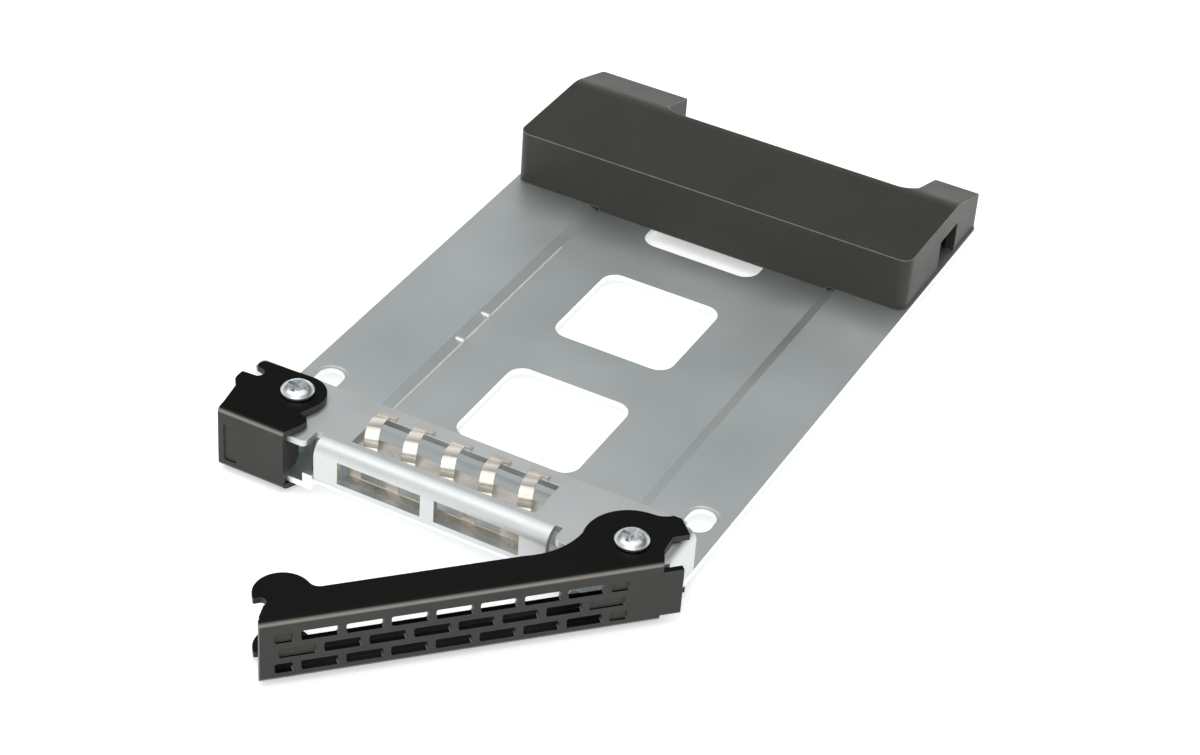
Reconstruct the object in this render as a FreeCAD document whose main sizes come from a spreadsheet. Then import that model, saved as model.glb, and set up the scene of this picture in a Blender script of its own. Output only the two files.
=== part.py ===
import FreeCAD, Part
import math
import os

import Sketcher

# Hot swap drive caddy: a folded steel tray for a thin 2.5-inch drive, with an ejector lever, a sprung latch
# button, a row of shielding fingers and a moulded rear cover.
# Frame: +X to the right, +Y into the bay, +Z up. The origin is on the tray's top face, midway across it,
# in the plane of the front wall's outer face. All sizes are in millimetres.

SIZES = {
    # tray sheet
    "tray_width": 70.0,
    "tray_length": 115.4,
    "tray_sheet": 1.0,
    "wall_foot_start": 1.3,
    "channel_left_inset": 14.1,
    "channel_right_inset": 11.8,
    "channel_start": 15.0,
    "channel_drop": 0.6,
    "channel_slope_angle": 70.0,
    "window_width": 20.1,
    "window_length": 19.5,
    "window_corner": 2.6,
    "window_middle": 0.47,
    "window_first": 21.75,
    "window_rear_margin": 14.75,
    "drive_hole_inset": 4.14,
    "front_hole_depth": 22.4,
    "rear_hole_inset": 16.4,
    "drive_hole_width": 4.1,
    "drive_hole_length": 5.4,
    # front bracket
    "bracket_sheet": 1.0,
    "bracket_top": 7.1,
    "bracket_rear": 13.0,
    "bend_radius": 2.3,
    "side_bend_radius": 1.8,
    "hook_overhang": 1.06,
    "hook_front": 10.3,
    "notch_front": 7.9,
    "notch_depth": 2.5,
    "wall_left_inset": 15.87,
    "wall_right_inset": 16.8,
    "relief_width": 1.1,
    "relief_depth": 2.6,
    "foot_depth": 5.2,
    "side_wall_front": 4.2,
    "side_wall_rear": 12.0,
    "port_low": 1.6,
    "port_height": 3.7,
    "port_width": 13.5,
    "port_margin": 3.91,
    "port_bar": 2.2,
    "slot_left_margin": 4.23,
    "slot_right_margin": 3.7,
    "slot_front": 3.3,
    "slot_rear": 10.3,
    # shielding fingers
    "finger_end_room": 4.44,
    "finger_width": 2.15,
    "finger_slant_angle": 17.0,
    "finger_sheet": 0.15,
    "finger_first_margin": 8.0,
    "finger_rise": 1.5,
    "finger_foot": 4.75,
    "finger_hem_height": 0.4,
    "finger_hem_left": 0.7,
    "finger_hem_right": 2.4,
    "finger_peak": 6.2,
    "finger_tab": 11.3,
    "strip_left_margin": 4.2,
    "strip_right_margin": 4.0,
    "strip_back": 2.5,
    "strip_rear": 6.8,
    "strip_low": 1.75,
    "leg_width": 2.1,
    # lever and button, shared by both
    "cap_sheet": 0.9,
    "cap_gap": 0.15,
    "cap_fold": 0.8,
    "front_face": 1.45,
    "front_gap": 0.2,
    "run_gap": 0.05,
    # ejector lever, seen from its pivot with the face toward the user
    "lever_pivot_inset": 5.88,
    "lever_pivot_depth": 3.85,
    "lever_open_angle": 45.4,
    "lever_end_gap": 0.43,
    "lever_fold_right": 3.8,
    "lever_tab_right": 5.87,
    "lever_tab_top": 6.5,
    "lever_tab_low": -1.05,
    "lever_eye": 6.8,
    "lever_arm_rear": 0.4,
    "lever_head_radius": 4.0,
    "lever_head_out": 4.25,
    "lever_head_rear": 0.35,
    "lever_lip_rear": -0.1,
    "lever_lip_width": 1.05,
    "lever_lip_notch": 1.6,
    "claw_out": 8.2,
    "claw_width": 3.5,
    "claw_front": -0.35,
    "claw_root": 5.75,
    "vent_length": 5.0,
    "vent_width": 1.6,
    "vent_corner": 0.3,
    "vent_pitch": 6.03,
    "vent_first": 5.5,
    "vent_shift": 3.06,
    "vent_top_row": 5.2,
    "vent_row_pitch": 2.55,
    "vent_mark_depth": 0.35,
    # latch button
    "button_pivot_inset": 8.24,
    "button_pivot_depth": 7.76,
    "button_press_angle": 10.0,
    "button_left": 7.4,
    "button_right": 3.45,
    "button_eye": 4.2,
    "button_mark_depth": 0.3,
    "catch_reach": 4.86,
    "catch_top": 4.21,
    "catch_low": 6.66,
    # pivots
    "post_radius": 2.5,
    "rivet_radius": 2.9,
    "rivet_height": 0.6,
    "pin_radius": 1.8,
    "thread_radius": 1.3,
    "thread_length": 4.2,
    "screw_head_radius": 2.45,
    "screw_head_height": 1.1,
    "recess_depth": 0.8,
    # button return spring
    "spring_wire": 0.25,
    "spring_radius": 3.05,
    "spring_low": 1.3,
    "spring_pitch": 0.62,
    "spring_turns": 3.5,
    # rear cover
    "cover_depth": 30.1,
    "ear_length": 9.8,
    "cover_rear_inset": 0.6,
    "cover_side_inset": 0.4,
    "cover_height": 9.3,
    "cover_wall": 1.5,
    "ear_end_height": 6.2,
    "left_ear_width": 16.2,
    "right_ear_width": 7.8,
    "cover_corner": 1.8,
    "cover_crotch": 3.0,
    "cover_edge": 0.5,
    "ear_crease": 1.5,
    "side_port_start": 13.5,
    "side_port_length": 7.2,
    "side_port_height": 5.7,
    "boss_radius": 2.4,
    "cover_screw_length": 6.5,
}


FINGER_COUNT = 5


class Size:
    """A number that also knows the spreadsheet expression it comes from."""

    def __init__(self, value, text):
        self.value = value
        self.text = text

    def __add__(self, other):
        other = as_size(other)
        return Size(self.value + other.value, f"({self.text} + {other.text})")

    def __sub__(self, other):
        other = as_size(other)
        return Size(self.value - other.value, f"({self.text} - {other.text})")

    def __mul__(self, other):
        other = as_size(other)
        return Size(self.value * other.value, f"({self.text} * {other.text})")

    def __truediv__(self, other):
        other = as_size(other)
        return Size(self.value / other.value, f"({self.text} / {other.text})")

    def __radd__(self, other):
        return as_size(other) + self

    def __rsub__(self, other):
        return as_size(other) - self

    def __rmul__(self, other):
        return as_size(other) * self

    def __rtruediv__(self, other):
        return as_size(other) / self

    def __neg__(self):
        return Size(-self.value, f"(0 - {self.text})")


def as_size(number):
    """Return a Size for a plain number, or the Size itself."""
    if isinstance(number, Size):
        return number
    return Size(float(number), f"{float(number):.6f}")


def sine(angle):
    """Sine of an angle in degrees."""
    angle = as_size(angle)
    return Size(math.sin(math.radians(angle.value)), f"sin({angle.text} * 1 deg)")


def cosine(angle):
    """Cosine of an angle in degrees."""
    angle = as_size(angle)
    return Size(math.cos(math.radians(angle.value)), f"cos({angle.text} * 1 deg)")


def root(area):
    """Square root."""
    return Size(math.sqrt(area.value), f"sqrt({area.text})")


doc = FreeCAD.newDocument("drive_caddy")
sheet = doc.addObject("Spreadsheet::Sheet", "Sizes")
for row, (alias, number) in enumerate(SIZES.items(), start=1):
    sheet.set(f"A{row}", alias)
    sheet.set(f"B{row}", str(number))
    sheet.setAlias(f"B{row}", alias)
doc.recompute()


def size(alias):
    """The named cell of the sheet as a Size."""
    return Size(float(sheet.get(alias)), f"Sizes.{alias}")


# ---------------------------------------------------------------- drawing helpers

def line(x, y):
    """Path step: a straight line to (x, y)."""
    return ("line", as_size(x), as_size(y))


def arc(x, y, radius, turn):
    """Path step: an arc under half a turn to (x, y); turn is +1 anticlockwise, -1 clockwise."""
    return ("arc", as_size(x), as_size(y), as_size(radius), turn)


def polar(centre_x, centre_y, radius, angle):
    """The point at an angle in degrees on a circle."""
    return (centre_x + radius * cosine(angle), centre_y + radius * sine(angle))


def new_body(label):
    """An empty PartDesign body; its label names the part's file."""
    body = doc.addObject("PartDesign::Body", "Body_" + label)
    body.Label = label
    return body


def new_sketch(body, role, offset=0.0, turn=0.0):
    """A sketch on one of the body's origin planes, moved along the plane's normal by offset."""
    plane = next(item for item in body.Origin.OriginFeatures if item.Role == role)
    sketch = body.newObject("Sketcher::SketchObject", body.Label + "_sketch")
    sketch.AttachmentSupport = [(plane, "")]
    sketch.MapMode = "FlatFace"
    offset = as_size(offset)
    spin = FreeCAD.Rotation(FreeCAD.Vector(0, 1, 0), turn)
    sketch.AttachmentOffset = FreeCAD.Placement(FreeCAD.Vector(0, 0, offset.value), spin)
    sketch.setExpression("AttachmentOffset.Base.z", offset.text)
    return sketch


def bind_point(sketch, geometry, position, x, y):
    """Fix one point of a sketch at (x, y) from the sketch's origin, by expressions."""
    for kind, coordinate in (("DistanceX", x), ("DistanceY", y)):
        rule = Sketcher.Constraint(kind, -1, 1, geometry, position, coordinate.value)
        index = sketch.addConstraint(rule)
        sketch.setExpression(f"Constraints[{index}]", coordinate.text)


def draw_path(sketch, steps):
    """Draw a closed path of lines and arcs, each corner bound to the sheet. The last step closes it."""
    corners = [FreeCAD.Vector(step[1].value, step[2].value, 0) for step in steps]
    for index, step in enumerate(steps):
        start, end = corners[index - 1], corners[index]
        if step[0] == "line":
            geometry = sketch.addGeometry(Part.LineSegment(start, end), False)
            last = 2
        else:
            radius, turn = step[3], step[4]
            chord = end - start
            rise = math.sqrt(max(radius.value ** 2 - (chord.Length / 2) ** 2, 0.0))
            side = FreeCAD.Vector(-chord.y, chord.x, 0).normalize() * turn
            centre = (start + end) * 0.5 + side * rise
            first_angle = math.atan2(*(start - centre if turn > 0 else end - centre)[1::-1])
            last_angle = math.atan2(*(end - centre if turn > 0 else start - centre)[1::-1])
            circle = Part.Circle(centre, FreeCAD.Vector(0, 0, 1), radius.value)
            geometry = sketch.addGeometry(Part.ArcOfCircle(circle, first_angle, last_angle), False)
            last = 2 if turn > 0 else 1
            rule = sketch.addConstraint(Sketcher.Constraint("Radius", geometry, radius.value))
            sketch.setExpression(f"Constraints[{rule}]", radius.text)
        bind_point(sketch, geometry, last, step[1], step[2])
        first = 3 - last
        if index == 0:
            opening = (geometry, first)
        else:
            sketch.addConstraint(Sketcher.Constraint("Coincident", ending[0], ending[1], geometry, first))
        ending = (geometry, last)
    sketch.addConstraint(Sketcher.Constraint("Coincident", ending[0], ending[1], opening[0], opening[1]))
    return sketch


def draw_box(sketch, left, low, right, high):
    """Draw a rectangle between two corners."""
    return draw_path(sketch, [line(left, low), line(right, low), line(right, high), line(left, high)])


def draw_slot(sketch, middle_x, middle_y, width, length, upright=True):
    """Draw an obround of a full width and length."""
    half = width / 2
    run = (length - width) / 2
    if upright:
        near, far = (middle_x - half, middle_y - run), (middle_x + half, middle_y - run)
        top_far, top_near = (middle_x + half, middle_y + run), (middle_x - half, middle_y + run)
        low, top = (middle_x, middle_y - run - half), (middle_x, middle_y + run + half)
    else:
        near, far = (middle_x - run, middle_y + half), (middle_x - run, middle_y - half)
        top_far, top_near = (middle_x + run, middle_y - half), (middle_x + run, middle_y + half)
        low, top = (middle_x - run - half, middle_y), (middle_x + run + half, middle_y)
    steps = [line(*near), arc(*low, half, 1), arc(*far, half, 1)]
    steps += [line(*top_far), arc(*top, half, 1), arc(*top_near, half, 1)]
    return draw_path(sketch, steps)


def draw_circle(sketch, x, y, radius):
    """Draw a circle bound to the sheet."""
    x, y, radius = as_size(x), as_size(y), as_size(radius)
    middle = FreeCAD.Vector(x.value, y.value, 0)
    geometry = sketch.addGeometry(Part.Circle(middle, FreeCAD.Vector(0, 0, 1), radius.value), False)
    rule = sketch.addConstraint(Sketcher.Constraint("Radius", geometry, radius.value))
    sketch.setExpression(f"Constraints[{rule}]", radius.text)
    bind_point(sketch, geometry, 3, x, y)
    return sketch


def extrude(body, kind, sketch, length, reverse=False, midplane=False):
    """Pad or pocket a sketch by a bound length, and check that the volume changes the right way."""
    before = body.Shape.Volume if body.Tip else 0.0
    feature = body.newObject("PartDesign::" + kind, body.Label + "_" + kind)
    feature.Profile = sketch
    feature.Length = as_size(length).value
    feature.setExpression("Length", as_size(length).text)
    feature.Reversed = reverse
    feature.Midplane = midplane
    doc.recompute()
    change = feature.Shape.Volume - before
    if change * (1 if kind == "Pad" else -1) <= 0:
        raise ValueError(f"{body.Label}: {kind} number {len(body.Group)} moves no material ({change:.4f})")
    return feature


def repeat(body, feature, plane_axis, spacing, count):
    """Copy a feature along the body's X axis at a bound spacing."""
    pattern = body.newObject("PartDesign::LinearPattern", body.Label + "_row")
    pattern.Originals = [feature]
    axis = next(item for item in body.Origin.OriginFeatures if item.Role == plane_axis)
    pattern.Direction = (axis, [""])
    span = spacing * (count - 1)
    pattern.Length = span.value
    pattern.Occurrences = count
    pattern.setExpression("Length", span.text)
    body.Tip = pattern
    doc.recompute()
    return pattern


def dress(body, kind, amount, picks, tolerance=0.02):
    """Fillet or chamfer the edges whose middle matches a pick; a pick's None matches anything."""
    base = body.Tip
    names = []
    for number, edge in enumerate(base.Shape.Edges, start=1):
        middle = edge.valueAt((edge.FirstParameter + edge.LastParameter) / 2)
        for pick in picks:
            if all(want is None or abs(as_size(want).value - got) < tolerance for want, got in zip(pick, middle)):
                names.append(f"Edge{number}")
                break
    if not names:
        raise ValueError(f"{body.Label}: no edge found for a {kind}")
    feature = body.newObject("PartDesign::" + kind, body.Label + "_" + kind)
    feature.Base = (base, names)
    target = "Radius" if kind == "Fillet" else "Size"
    setattr(feature, target, as_size(amount).value)
    feature.setExpression(target, as_size(amount).text)
    doc.recompute()
    if feature.Shape.isNull() or "Invalid" in feature.State:
        raise ValueError(f"{body.Label}: the {kind} of {amount} fails")
    return feature


def draw_rounded_box(sketch, left, low, right, high, radius):
    """Draw a rectangle with four equal round corners."""
    steps = [line(left, low + radius), arc(left + radius, low, radius, 1)]
    steps += [line(right - radius, low), arc(right, low + radius, radius, 1)]
    steps += [line(right, high - radius), arc(right - radius, high, radius, 1)]
    steps += [line(left + radius, high), arc(left, high - radius, radius, 1)]
    return draw_path(sketch, steps)


def place(body, x, y, z):
    """Put a body at a bound position."""
    for axis, distance in zip("xyz", (x, y, z)):
        distance = as_size(distance)
        setattr(body.Placement.Base, axis, distance.value)
        body.setExpression(f"Placement.Base.{axis}", distance.text)


# ---------------------------------------------------------------- shared sizes

half_tray = size("tray_width") / 2
sheet_t = size("tray_sheet")
bracket_t = size("bracket_sheet")
bracket_under = size("bracket_top") - bracket_t
cap_t = size("cap_sheet")
cap_gap = size("cap_gap")
cap_top = size("bracket_top") + cap_gap + cap_t
cap_low = -(sheet_t + cap_gap + cap_t)
front_edge = size("front_gap") + cap_t - size("front_face")
lever_x, lever_y = half_tray - size("lever_pivot_inset"), size("lever_pivot_depth")
button_x, button_y = size("button_pivot_inset") - half_tray, size("button_pivot_depth")
lever_reach = lever_x - button_x - size("button_right") - size("lever_end_gap")
lever_face = lever_y + size("front_face")
button_face = button_y + size("front_face")
pin_hole = size("pin_radius") + size("run_gap")
wall_left = size("wall_left_inset") - half_tray
wall_right = half_tray - size("wall_right_inset")
relief_left = wall_left - size("relief_width")
relief_right = wall_right + size("relief_width")
hole_x = half_tray - size("drive_hole_inset")
rear_hole_y = size("tray_length") - size("rear_hole_inset")
press_rise = sine(size("button_press_angle")) / cosine(size("button_press_angle"))
open_rise = sine(size("lever_open_angle")) / cosine(size("lever_open_angle"))
stop_radius = lever_y - front_edge
stop_x = lever_x + stop_radius * sine(size("lever_open_angle"))
stop_y = lever_y - stop_radius * cosine(size("lever_open_angle"))


def right_front_corner(side):
    """Front edge to the right: round under the lever's pivot, then the slanted stop for the open lever."""
    steps = [line(lever_x, front_edge), arc(stop_x, stop_y, stop_radius, 1)]
    return steps + [line(side, stop_y + (side - stop_x) * open_rise)]


def left_front_height(side):
    """Depth of the slanted left front edge, which clears the pressed button."""
    return front_edge + (button_x - side) * press_rise


def make_tray():
    """Folded steel tray: flat sheet, lowered middle channel, windows, drive holes and spring tab."""
    body = new_body("tray_plate")
    length = size("tray_length")
    tab_left = relief_left - sheet_t / 2
    wall_gap = wall_left - size("run_gap") * 2
    outline = [line(button_x, front_edge), line(wall_gap, front_edge), line(wall_gap, size("wall_foot_start"))]
    outline += [line(relief_right, size("wall_foot_start")), line(relief_right, front_edge)]
    outline += right_front_corner(half_tray)
    outline += [line(half_tray, length), line(-half_tray, length)]
    outline += [line(-half_tray, left_front_height(-half_tray))]
    extrude(body, "Pad", draw_path(new_sketch(body, "XY_Plane"), outline), sheet_t, reverse=True)

    over = size("tray_sheet") * 5
    drop, taper = size("channel_drop"), -size("channel_slope_angle")
    left, right = size("channel_left_inset") - half_tray, half_tray - size("channel_right_inset")
    start = size("channel_start")
    below = draw_box(new_sketch(body, "XY_Plane", -sheet_t), left, start, right, length + over)
    channel = extrude(body, "Pad", below, drop, reverse=True)
    channel.TaperAngle = taper.value
    channel.setExpression("TaperAngle", taper.text)
    doc.recompute()
    beyond = draw_box(new_sketch(body, "XY_Plane"), -half_tray, length, half_tray, length + over * 2)
    extrude(body, "Pocket", beyond, over)
    above = draw_box(new_sketch(body, "XY_Plane"), left, start, right, length + over)
    channel = extrude(body, "Pocket", above, drop)
    channel.TaperAngle = taper.value
    channel.setExpression("TaperAngle", taper.text)
    doc.recompute()

    depth = sheet_t + drop * 2
    half_window = size("window_width") / 2
    first = size("window_first")
    pitch = (length - size("window_rear_margin") - size("window_length") - first) / 2
    for row in range(3):
        low = first + pitch * row
        sketch = new_sketch(body, "XY_Plane")
        draw_rounded_box(sketch, size("window_middle") - half_window, low, size("window_middle") + half_window,
                         low + size("window_length"), size("window_corner"))
        extrude(body, "Pocket", sketch, depth)
    for y in (size("front_hole_depth"), rear_hole_y):
        for side in (-1, 1):
            x = hole_x * side
            width, run = size("drive_hole_width"), size("drive_hole_length")
            extrude(body, "Pocket", draw_slot(new_sketch(body, "XY_Plane"), x, y, width, run), depth)
            rim = new_sketch(body, "XY_Plane")
            draw_slot(rim, x, y, width + sheet_t, run + sheet_t)
            extrude(body, "Pocket", rim, sheet_t / 6)
    for x, y in ((lever_x, lever_y), (button_x, button_y)):
        extrude(body, "Pocket", draw_circle(new_sketch(body, "XY_Plane"), x, y, pin_hole), depth)
    tab = draw_box(new_sketch(body, "XY_Plane"), tab_left, front_edge, wall_gap, front_edge + sheet_t)
    extrude(body, "Pad", tab, size("spring_low") + size("spring_wire"))
    dress(body, "Fillet", sheet_t * 2, [(sign * half_tray, length, None) for sign in (-1, 1)])
    return body


def make_bracket():
    """Folded steel front bracket: top flange with finger slot, front wall with two ports, side wall, foot."""
    body = new_body("front_bracket")
    top, bend = size("bracket_top"), size("bend_radius")
    side_bend = size("side_bend_radius")
    rear, relief = size("bracket_rear"), size("relief_depth")
    side_front, side_rear = size("side_wall_front"), size("side_wall_rear")
    hook = -(half_tray + size("hook_overhang"))
    inner = -(half_tray - bracket_t)
    outline = [line(button_x, front_edge), line(relief_left, front_edge), line(relief_left, relief)]
    outline += [line(wall_left, relief), line(wall_left, bend), line(wall_right, bend)]
    outline += [line(wall_right, relief), line(relief_right, relief), line(relief_right, front_edge)]
    outline += right_front_corner(half_tray)
    outline += [line(half_tray, side_front), line(half_tray - side_bend, side_front)]
    outline += [line(half_tray - side_bend, rear), line(hook, rear), line(hook, size("hook_front"))]
    outline += [line(hook + size("notch_depth"), size("hook_front"))]
    outline += [line(hook + size("notch_depth"), size("notch_front")), line(-half_tray, size("notch_front"))]
    outline += [line(-half_tray, size("notch_front") - size("notch_depth"))]
    outline += [line(inner, size("notch_depth")), line(inner, left_front_height(inner))]
    flange = draw_path(new_sketch(body, "XY_Plane", bracket_under), outline)
    extrude(body, "Pad", flange, bracket_t)

    foot_bend = size("wall_foot_start")
    inner_bend, inner_foot = bend - bracket_t, foot_bend - bracket_t
    wall = [line(bend, top), arc(0, top - bend, bend, 1), line(0, foot_bend), arc(foot_bend, 0, foot_bend, 1)]
    wall += [line(size("foot_depth"), 0), line(size("foot_depth"), bracket_t), line(foot_bend, bracket_t)]
    wall += [arc(bracket_t, foot_bend, inner_foot, -1), line(bracket_t, top - bend)]
    wall += [arc(bend, bracket_under, inner_bend, -1)]
    front_wall = draw_path(new_sketch(body, "YZ_Plane", wall_left), wall)
    extrude(body, "Pad", front_wall, wall_right - wall_left)

    side_inner = half_tray - bracket_t
    side = [line(half_tray - side_bend, top), arc(half_tray, top - side_bend, side_bend, -1)]
    side += [line(half_tray, 0), line(side_inner, 0), line(side_inner, top - side_bend)]
    side += [arc(half_tray - side_bend, bracket_under, side_bend - bracket_t, 1)]
    side_wall = draw_path(new_sketch(body, "XZ_Plane", -side_rear), side)
    extrude(body, "Pad", side_wall, side_rear - side_front)

    port_left = wall_left + size("port_margin")
    for number in range(2):
        left = port_left + (size("port_width") + size("port_bar")) * number
        low = size("port_low")
        port = draw_box(new_sketch(body, "XZ_Plane"), left, low, left + size("port_width"), low + size("port_height"))
        extrude(body, "Pocket", port, bend)
    slot = draw_box(new_sketch(body, "XY_Plane", top), wall_left + size("slot_left_margin"),
                    size("slot_front"), wall_right - size("slot_right_margin"), size("slot_rear"))
    extrude(body, "Pocket", slot, bracket_t)
    for x, y in ((lever_x, lever_y), (button_x, button_y)):
        extrude(body, "Pocket", draw_circle(new_sketch(body, "XY_Plane", top), x, y, pin_hole), bracket_t)
    corners = [(hook, rear, None), (half_tray - side_bend, rear, None)]
    dress(body, "Fillet", bracket_t * 0.8, corners)
    tips = [(relief_left, front_edge, None), (relief_right, front_edge, None)]
    tips += [(hook, size("hook_front"), None)]
    dress(body, "Fillet", bracket_t, tips)
    return body


def make_fingers():
    """Stamped spring strip: a rail with legs behind the front wall, and a row of arched fingers."""
    body = new_body("shield_fingers")
    thin = size("finger_sheet")
    left, right = wall_left + size("strip_left_margin"), wall_right - size("strip_right_margin")
    back = size("strip_back")
    low, lip = size("strip_low"), size("finger_foot")
    front, sill = bracket_t + size("cap_gap") * 2, bracket_t + thin * 2
    root_y = lip - thin * 4
    rail = [line(back, bracket_under), line(back, low), line(front, sill + thin), line(front, sill)]
    rail += [line(back + thin, low - thin), line(back + thin, bracket_under - thin)]
    rail += [line(size("strip_rear"), bracket_under - thin), line(size("strip_rear"), bracket_under)]
    extrude(body, "Pad", draw_path(new_sketch(body, "YZ_Plane", left), rail), right - left)
    leg = size("leg_width")
    pitch = (right - left - size("finger_end_room")) / (FINGER_COUNT - 1)
    gap = draw_box(new_sketch(body, "XZ_Plane", -back + thin), left + leg, low + thin,
                   left + pitch, bracket_under - thin * 2)
    cut = extrude(body, "Pocket", gap, thin * 4)
    repeat(body, cut, "X_Axis", pitch, FINGER_COUNT - 1)

    slant = size("finger_slant_angle")
    stretch = 1 / cosine(slant)
    top = size("bracket_top")
    peak_y, peak_z = size("finger_peak"), top + size("finger_rise")
    tab, drop_y = size("finger_tab"), size("slot_rear") - thin * 2
    front_r = (peak_y - lip) * stretch
    long_r = (drop_y - peak_y) * 2.5
    path = [(root_y, bracket_under), (lip - thin * 2, bracket_under + thin), (lip, top + thin / 2)]
    path = [line(y * stretch, z) for y, z in path]
    path += [arc(peak_y * stretch, peak_z, front_r, -1), arc(drop_y * stretch, top + thin * 2, long_r, -1)]
    path += [line((drop_y + thin * 2) * stretch, top + thin), line(tab * stretch, top + thin)]
    path += [line(tab * stretch, top), line(drop_y * stretch, top)]
    path += [line((drop_y - thin) * stretch, top + thin)]
    path += [arc(peak_y * stretch, peak_z - thin, long_r - thin, 1)]
    path += [arc((lip + thin) * stretch, top, front_r - thin, 1)]
    path += [line((lip - thin) * stretch, bracket_under), line(root_y * stretch, bracket_under - thin)]
    first = wall_left + size("finger_first_margin")
    finger = draw_path(new_sketch(body, "YZ_Plane", first, slant.value), path)
    pad = extrude(body, "Pad", finger, size("finger_width") * cosine(slant), midplane=True)
    repeat(body, pad, "X_Axis", pitch, FINGER_COUNT)
    end = first - tab * sine(slant) / cosine(slant)
    hem = draw_box(new_sketch(body, "XY_Plane", top), end - size("finger_hem_left"), size("slot_rear") + thin,
                   end + size("finger_hem_right"), tab)
    pad = extrude(body, "Pad", hem, size("finger_hem_height"))
    repeat(body, pad, "X_Axis", pitch, FINGER_COUNT)
    return body


def make_cap_flanges(body, outline, eye_hole):
    """Pad one flat outline as the top and the bottom flange of a folded cap, and pierce both for the pin."""
    for low in (cap_top - cap_t, cap_low):
        extrude(body, "Pad", draw_path(new_sketch(body, "XY_Plane", low), outline), cap_t)
    hole = draw_circle(new_sketch(body, "XY_Plane", cap_top), 0, 0, eye_hole)
    extrude(body, "Pocket", hole, cap_top - cap_low)


def make_lever():
    """Ejector lever: a face with rows of vent slots, folded to a top and a bottom flange of one outline."""
    body = new_body("ejector_lever")
    reach, face = lever_reach, lever_face
    fold_right, tab_right = size("lever_fold_right"), size("lever_tab_right")
    head_r, head_x, head_y = size("lever_head_radius"), size("lever_head_out") - reach, size("lever_head_rear")
    lip_y, lip_depth = size("lever_lip_rear"), size("lever_lip_notch")
    drop = head_y - lip_y
    lip_x = head_x - root(head_r * head_r - drop * drop)
    notch_x = lip_x + size("lever_lip_width")
    neck = polar(head_x, head_y, head_r, 17)
    arm_y, eye = size("lever_arm_rear"), size("lever_eye")
    swell, crown = polar(as_size(0), as_size(0), eye, 150), polar(as_size(0), as_size(0), eye, 48)
    claw_x, claw_y = size("claw_out"), size("claw_front")
    claw_rear = claw_y + size("claw_width")
    outline = [line(-reach, -face), line(lip_x, -(face - lip_depth)), line(notch_x, lip_y - lip_depth)]
    outline += [arc(notch_x, lip_y, lip_depth * 0.55, 1), line(lip_x, lip_y)]
    outline += [arc(*neck, head_r, -1), arc(neck[0] + lip_depth, arm_y, lip_depth, 1)]
    outline += [line(-(eye * 2.2), arm_y), arc(*swell, eye * 1.6, 1), arc(*crown, eye, -1)]
    outline += [arc(claw_x - cap_t, claw_rear + cap_t, eye / 2, 1), line(claw_x, claw_rear), line(claw_x, claw_y)]
    outline += [line(size("claw_root"), claw_y), line(fold_right, -(face / 2)), line(fold_right - cap_t, -face)]
    make_cap_flanges(body, outline, pin_hole)

    plate = draw_box(new_sketch(body, "XZ_Plane", face), -reach, cap_low, fold_right - cap_t, cap_top)
    extrude(body, "Pad", plate, cap_t, reverse=True)
    tab = draw_box(new_sketch(body, "XZ_Plane", face), -reach / 8, size("lever_tab_low"),
                   tab_right, size("lever_tab_top"))
    extrude(body, "Pad", tab, cap_t, reverse=True)

    long, wide, pitch, corner = size("vent_length"), size("vent_width"), size("vent_pitch"), size("vent_corner")
    first = size("vent_first") - reach + long / 2
    for row, (shift, count) in enumerate(((0, 7), (1, 6), (0, 7))):
        z = size("vent_top_row") - size("vent_row_pitch") * row
        x = first + size("vent_shift") * shift
        vent = draw_rounded_box(new_sketch(body, "XZ_Plane", face), x - long / 2, z - wide / 2,
                                x + long / 2, z + wide / 2, corner)
        cut = extrude(body, "Pocket", vent, cap_t)
        repeat(body, cut, "X_Axis", pitch, count)
        short = long / 2
        for end, middle in enumerate((x - pitch + (long - short) / 2 * (1 - shift),
                                      x + pitch * count - (long - short) / 2 * (1 - shift))):
            run = long if shift else short
            deep = cap_t if (row == 2 and end == 0) else size("vent_mark_depth")
            mark = draw_rounded_box(new_sketch(body, "XZ_Plane", face), middle - run / 2, z - wide / 2,
                                    middle + run / 2, z + wide / 2, corner)
            extrude(body, "Pocket", mark, deep)
    dress(body, "Fillet", size("cap_fold"), [(None, -face, cap_top), (None, -face, cap_low)])
    place(body, lever_x, lever_y, 0)
    body.Placement.Rotation = FreeCAD.Rotation(FreeCAD.Vector(0, 0, 1), size("lever_open_angle").value)
    body.setExpression("Placement.Rotation.Angle", size("lever_open_angle").text)
    return body


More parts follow.
